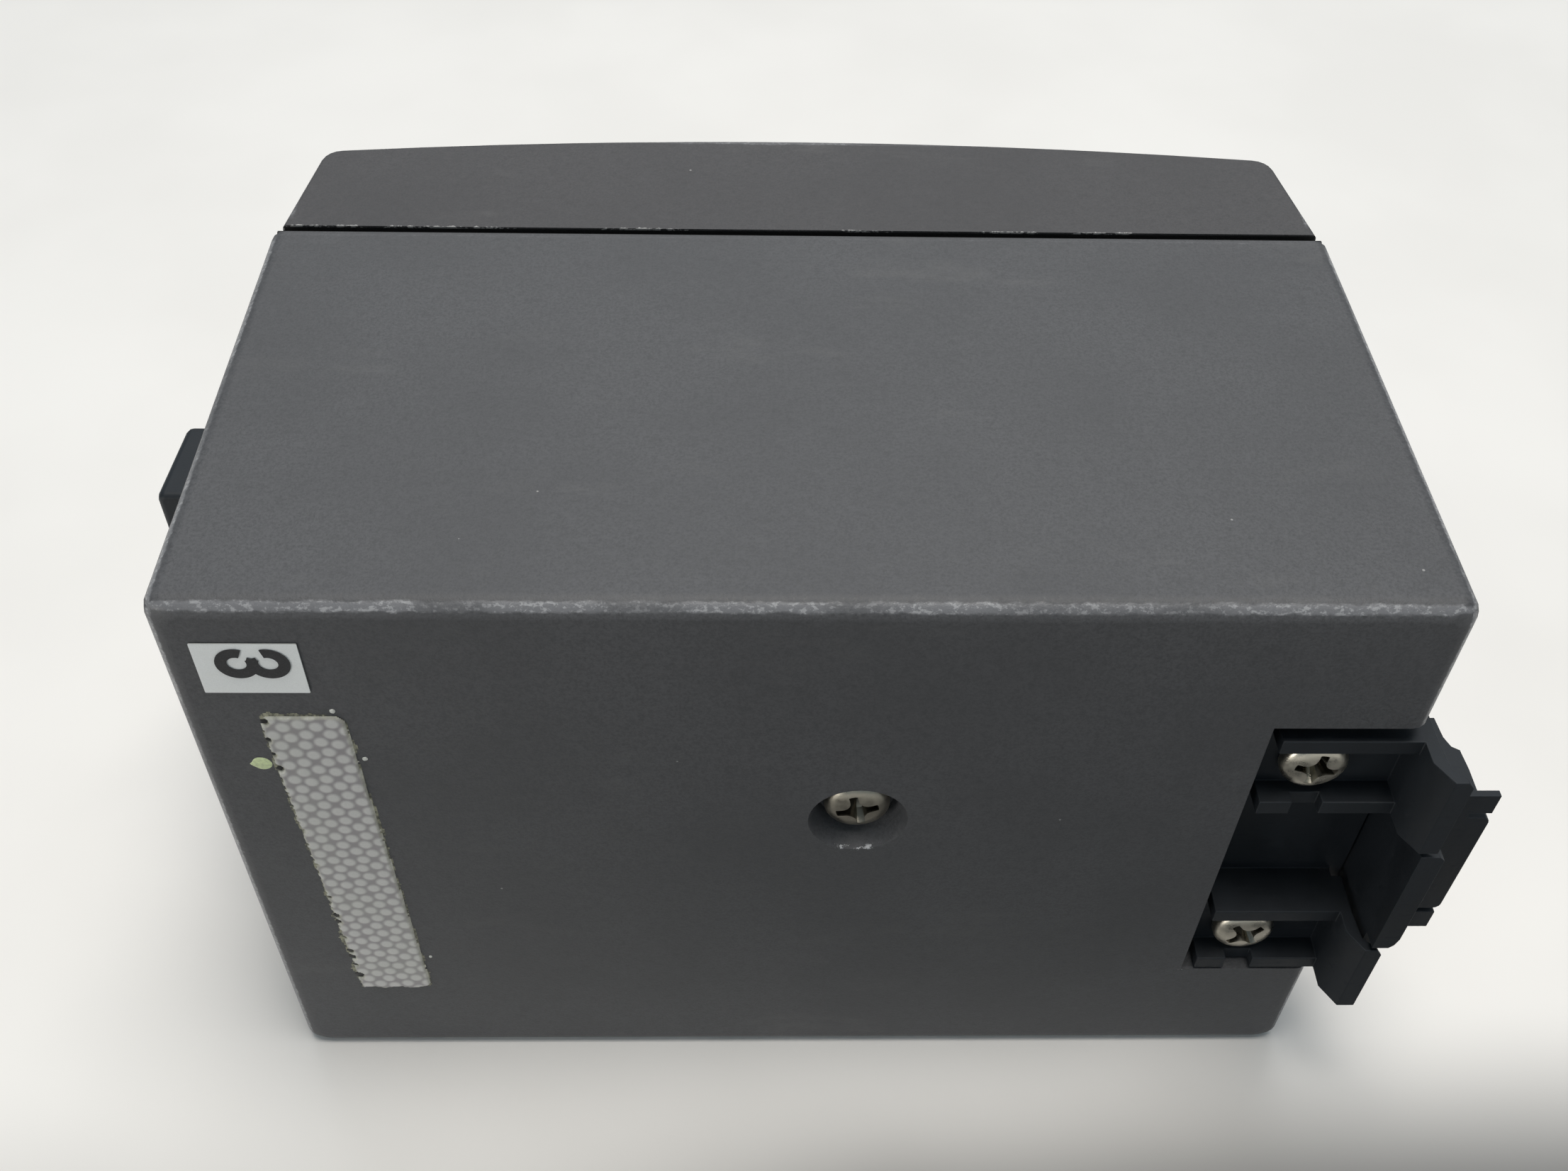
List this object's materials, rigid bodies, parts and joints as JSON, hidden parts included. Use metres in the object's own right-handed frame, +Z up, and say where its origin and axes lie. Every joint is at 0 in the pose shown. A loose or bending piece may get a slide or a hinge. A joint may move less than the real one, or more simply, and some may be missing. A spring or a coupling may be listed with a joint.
{
  "type": "plc module",
  "caption": "Deep box-shaped controller module lying on its side, with an arched hinged front cover, a screwed hook bracket, a sprung hook slide and a push release latch.",
  "frame": {"origin": "the middle of the housing's side face that the module lies on", "axes": "+X along the module's length towards the hook bracket, +Y from the rear face towards the front cover, +Z up through its width"},
  "size_m": [0.148, 0.0864, 0.0826],
  "materials": {
    "aluminium": "anodised",
    "black": "smooth moulded plastic, low sheen",
    "board": "solder mask on glass fibre board",
    "brass": "turned",
    "can": "heat-shrunk sleeve",
    "copper": "laminated core and varnished winding",
    "glass": "clear moulding or glass tube",
    "housing": "fine spark-textured moulded plastic, slightly worn on the edges",
    "ink": "printed",
    "legend": "printed film, blank",
    "nickel": "nickel plated, warm grey",
    "part_black": "moulded",
    "reflective": "honeycomb reflective film",
    "relay": "moulded",
    "steel": "drawn steel",
    "terminal": "moulded",
    "white": "satin film or moulding",
    "window": "smoked, polished"
  },
  "bodies": {
    "module": {"housing": "housing", "inner_frame": "black", "hook_bracket": "black", "hook_spring": "steel", "latch_spring": "steel", "bracket_screw_lower": "nickel", "bracket_screw_upper": "nickel", "rear_screw": "nickel", "rear_insert": "brass", "number_label": "white", "number_digit": "ink", "reflective_strip": "reflective", "base_board": "board", "front_board": "board", "transformer": "copper", "heat_sink": "aluminium", "capacitor_left": "can", "capacitor_right": "can", "processor": "part_black", "board_link": "part_black", "terminal_block": "terminal", "mode_switch_base": "part_black", "light_pipe": "glass", "fuse_holder": "part_black", "fuse": "glass", "service_socket": "aluminium", "pillar_left_lower": "brass", "board_screw_left_lower": "steel", "pillar_left_upper": "brass", "board_screw_left_upper": "steel", "pillar_right_lower": "brass", "board_screw_right_lower": "steel", "pillar_right_upper": "brass", "board_screw_right_upper": "steel", "relay_1": "relay", "relay_2": "relay", "relay_3": "relay", "relay_4": "relay", "terminal_screw_1": "nickel", "terminal_screw_2": "nickel", "terminal_screw_3": "nickel", "terminal_screw_4": "nickel", "terminal_screw_5": "nickel", "terminal_screw_6": "nickel", "terminal_screw_7": "nickel", "terminal_screw_8": "nickel"},
    "cover": {"front_cover": "housing", "hinge_pin_lower": "steel", "hinge_pin_upper": "steel", "status_window": "window", "legend_plate": "legend"},
    "slide": {"hook_slide": "black"},
    "latch": {"release_latch": "black"},
    "switch": {"mode_switch_lever": "white"}
  },
  "joints": [
    {"name": "cover_hinge", "type": "hinge", "parent": "module", "child": "cover", "pos_m": [-0.0599, 0.0356, 0.0413], "axis": [0, 0, 1], "range_deg": [0, 110]},
    {"name": "hook_pull", "type": "slide", "parent": "module", "child": "slide", "axis": [1, 0, 0], "range_m": [0, 0.005], "stiffness_N_per_m": 400, "springref_m": -0.002},
    {"name": "latch_press", "type": "slide", "parent": "module", "child": "latch", "axis": [1, 0, 0], "range_m": [0, 0.006], "stiffness_N_per_m": 400, "springref_m": -0.002},
    {"name": "mode_select", "type": "slide", "parent": "module", "child": "switch", "axis": [1, 0, 0], "range_m": [0, 0.0044]}
  ]
}
